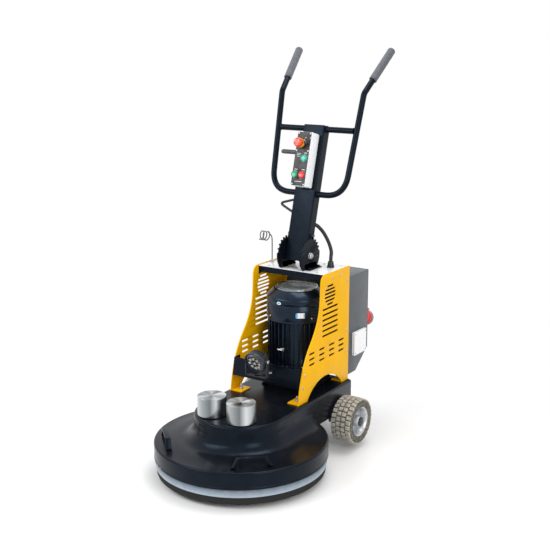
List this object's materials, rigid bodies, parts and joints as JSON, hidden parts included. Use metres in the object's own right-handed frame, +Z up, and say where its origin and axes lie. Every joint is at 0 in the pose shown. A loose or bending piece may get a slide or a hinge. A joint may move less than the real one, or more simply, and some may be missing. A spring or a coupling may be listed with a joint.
{
  "type": "walk-behind floor grinder",
  "caption": "Walk-behind floor grinder and polisher: belt-driven disc deck, upright motor between side plates, cabinet, wheels and a tilting handle mast with controls.",
  "frame": {"origin": "centre of the base of the machine's bounding box, on the floor", "axes": "+Z up, +Y towards the operator, +X to the side of the cabinet that carries the pale box"},
  "size_m": [0.7, 1.1796, 1.6478],
  "materials": {
    "shell_black": "moulded satin black cover",
    "skirt_grey": "blue-grey rubber skirt",
    "brush_black": "dark foam sealing ring",
    "pad_black": "polishing pad",
    "frame_black": "satin black powder coat",
    "plate_yellow": "warm yellow powder coat",
    "cabinet_grey": "satin mid grey powder coat",
    "plate_pale": "glossy pale sheet",
    "bright_steel": "turned bright steel",
    "dark_steel": "oiled dark steel",
    "cast_alloy": "cast aluminium",
    "tyre_rubber": "worn pale rubber tread",
    "grip_foam": "dark grey foam grip",
    "box_pale": "pale moulded box",
    "plastic_black": "black moulded plastic",
    "plastic_grey": "grey moulded plastic",
    "plastic_red": "glossy red plastic",
    "plastic_green": "glossy green plastic",
    "hose_black": "ribbed black conduit",
    "copper": "varnished copper winding"
  },
  "bodies": {
    "chassis": {"deck_shell": "shell_black", "skirt_band": "skirt_grey", "brush_ring": "brush_black", "deck_handle_left": "frame_black", "deck_handle_right": "frame_black", "base_plate": "dark_steel", "spindle_housing": "cast_alloy", "bearing_lower": "bright_steel", "bearing_upper": "bright_steel", "belt": "hose_black", "motor_adapter": "frame_black", "motor_frame": "frame_black", "stator": "copper", "fan_cowl": "frame_black", "side_plate_left": "plate_yellow", "side_plate_right": "plate_yellow", "front_cross_plate": "frame_black", "top_frame": "frame_black", "top_plate": "plate_pale", "cabinet_shell": "cabinet_grey", "control_unit": "plastic_black", "side_box": "box_pale", "axle": "dark_steel", "quadrant_left": "frame_black", "quadrant_right": "frame_black", "pivot_bolt": "bright_steel", "conduit": "hose_black", "conduit_gland": "plastic_black", "lamp_bracket": "bright_steel"},
    "disc": {"spindle": "bright_steel", "driven_pulley": "cast_alloy", "driver_disc": "cast_alloy", "polishing_pad": "pad_black"},
    "motor_rotor": {"rotor": "bright_steel", "cooling_fan": "plastic_black", "motor_pulley": "cast_alloy"},
    "door": {"cabinet_door": "cabinet_grey", "inlet_body": "plastic_red"},
    "inlet_flap": {"inlet_cap": "plastic_grey"},
    "wheel_left": {"tyre_left": "tyre_rubber", "rim_left": "bright_steel"},
    "wheel_right": {"tyre_right": "tyre_rubber", "rim_right": "bright_steel"},
    "mast": {"mast_tube": "frame_black", "handlebar": "frame_black", "crossbar": "frame_black", "grip_left": "grip_foam", "grip_right": "grip_foam", "control_box": "box_pale", "cable_hook": "frame_black"},
    "e_stop": {"e_stop_button": "plastic_red"},
    "selector": {"selector_knob": "plastic_black"},
    "start_key": {"start_button": "plastic_green"},
    "run_key": {"run_button": "plastic_green"},
    "stop_key": {"stop_button": "plastic_red"},
    "latch_bar": {"latch": "frame_black"},
    "guide": {"cable_guide": "bright_steel"},
    "lamp": {"work_lamp": "cast_alloy"},
    "weight_l": {"weight_left": "bright_steel"},
    "weight_r": {"weight_right": "bright_steel"}
  },
  "joints": [
    {"name": "disc_spin", "type": "hinge", "parent": "chassis", "child": "disc", "pos_m": [0, -0.23984, 0.2], "axis": [0, 0, 1], "continuous": true},
    {"name": "motor_spin", "type": "hinge", "parent": "chassis", "child": "motor_rotor", "pos_m": [0, 0.16916, 0.2], "axis": [0, 0, 1], "continuous": true},
    {"name": "wheel_left_spin", "type": "hinge", "parent": "chassis", "child": "wheel_left", "pos_m": [-0.24, 0.23016, 0.1], "axis": [1, 0, 0], "continuous": true},
    {"name": "wheel_right_spin", "type": "hinge", "parent": "chassis", "child": "wheel_right", "pos_m": [0.24, 0.23016, 0.1], "axis": [1, 0, 0], "continuous": true},
    {"name": "mast_tilt", "type": "hinge", "parent": "chassis", "child": "mast", "pos_m": [0, 0.18076, 0.8037], "axis": [1, 0, 0], "range_deg": [-60, 15], "deforming": ["conduit"]},
    {"name": "latch_slide", "type": "slide", "parent": "mast", "child": "latch_bar", "axis": [0, 0.2639, 0.9646], "range_m": [-0.009, 0], "stiffness_N_per_m": 300, "springref_m": -0.03},
    {"name": "e_stop_press", "type": "slide", "parent": "mast", "child": "e_stop", "axis": [0, 0.9646, -0.2639], "range_m": [0, 0.005]},
    {"name": "selector_turn", "type": "hinge", "parent": "mast", "child": "selector", "pos_m": [0.019, 0.2182, 1.2714], "axis": [0, -0.9646, 0.2639], "range_deg": [-45, 45]},
    {"name": "start_press", "type": "slide", "parent": "mast", "child": "start_key", "axis": [0, 0.9646, -0.2639], "range_m": [0, 0.004], "stiffness_N_per_m": 500},
    {"name": "run_press", "type": "slide", "parent": "mast", "child": "run_key", "axis": [0, 0.9646, -0.2639], "range_m": [0, 0.004], "stiffness_N_per_m": 500},
    {"name": "stop_press", "type": "slide", "parent": "mast", "child": "stop_key", "axis": [0, 0.9646, -0.2639], "range_m": [0, 0.004], "stiffness_N_per_m": 500},
    {"name": "door_swing", "type": "hinge", "parent": "chassis", "child": "door", "pos_m": [-0.166, 0.50446, 0.5], "axis": [0, 0, 1], "range_deg": [0, 110]},
    {"name": "inlet_flap_lift", "type": "hinge", "parent": "door", "child": "inlet_flap", "pos_m": [0.118, 0.57837, 0.49279], "axis": [1, 0, 0], "range_deg": [0, 110], "stiffness_Nm_per_rad": 0.02, "springref_deg": -51.57},
    {"name": "guide_swivel", "type": "hinge", "parent": "chassis", "child": "guide", "pos_m": [-0.154, 0.21216, 0.76], "axis": [0, 0, 1], "range_deg": [-90, 90]},
    {"name": "lamp_tilt", "type": "hinge", "parent": "chassis", "child": "lamp", "pos_m": [0.014, -0.14784, 0.43], "axis": [1, 0, 0], "range_deg": [-50, 30]},
    {"name": "weight_left_lift", "type": "slide", "parent": "chassis", "child": "weight_l", "axis": [0, 0, 1], "range_m": [0, 0.12]},
    {"name": "weight_right_lift", "type": "slide", "parent": "chassis", "child": "weight_r", "axis": [0, 0, 1], "range_m": [0, 0.12]}
  ],
  "couplings": [
    {"joint": "motor_spin", "follows": "disc_spin", "ratio": 1.8182}
  ]
}
